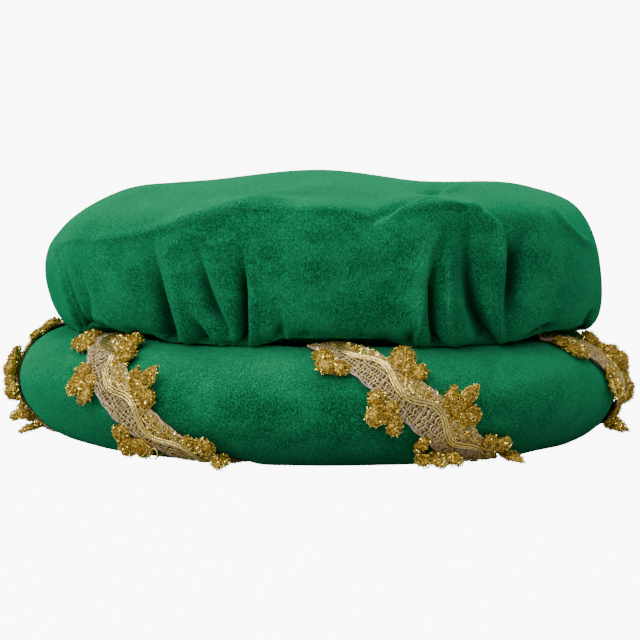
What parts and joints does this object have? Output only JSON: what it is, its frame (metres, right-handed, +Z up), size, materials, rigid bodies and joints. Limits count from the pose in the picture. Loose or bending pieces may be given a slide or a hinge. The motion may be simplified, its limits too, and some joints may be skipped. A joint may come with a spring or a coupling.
{
  "type": "renaissance hat",
  "caption": "Soft velvet hat with a puffed gathered crown on a stuffed roll brim, wound round with a metallic flower braid.",
  "frame": {"origin": "on the surface that the hat rests on, under the middle of the head opening", "axes": "+Z up out of the crown, -Y towards the front of the picture, +X to the hat's right in the picture"},
  "size_m": [0.324, 0.3235, 0.1325],
  "materials": {
    "roll_velvet": "green velvet with a short soft pile, stretched over the stuffed roll",
    "crown_velvet": "green velvet with a short soft pile, gathered and folded",
    "gold_braid": "braid of gold metallic thread with looped flower petals on both edges"
  },
  "bodies": {
    "root": {"roll": "roll_velvet", "crown": "crown_velvet", "braid_wrap_1": "gold_braid", "braid_wrap_2": "gold_braid", "braid_wrap_3": "gold_braid", "braid_wrap_4": "gold_braid", "braid_wrap_5": "gold_braid", "braid_wrap_6": "gold_braid", "braid_wrap_7": "gold_braid"}
  },
  "joints": []
}
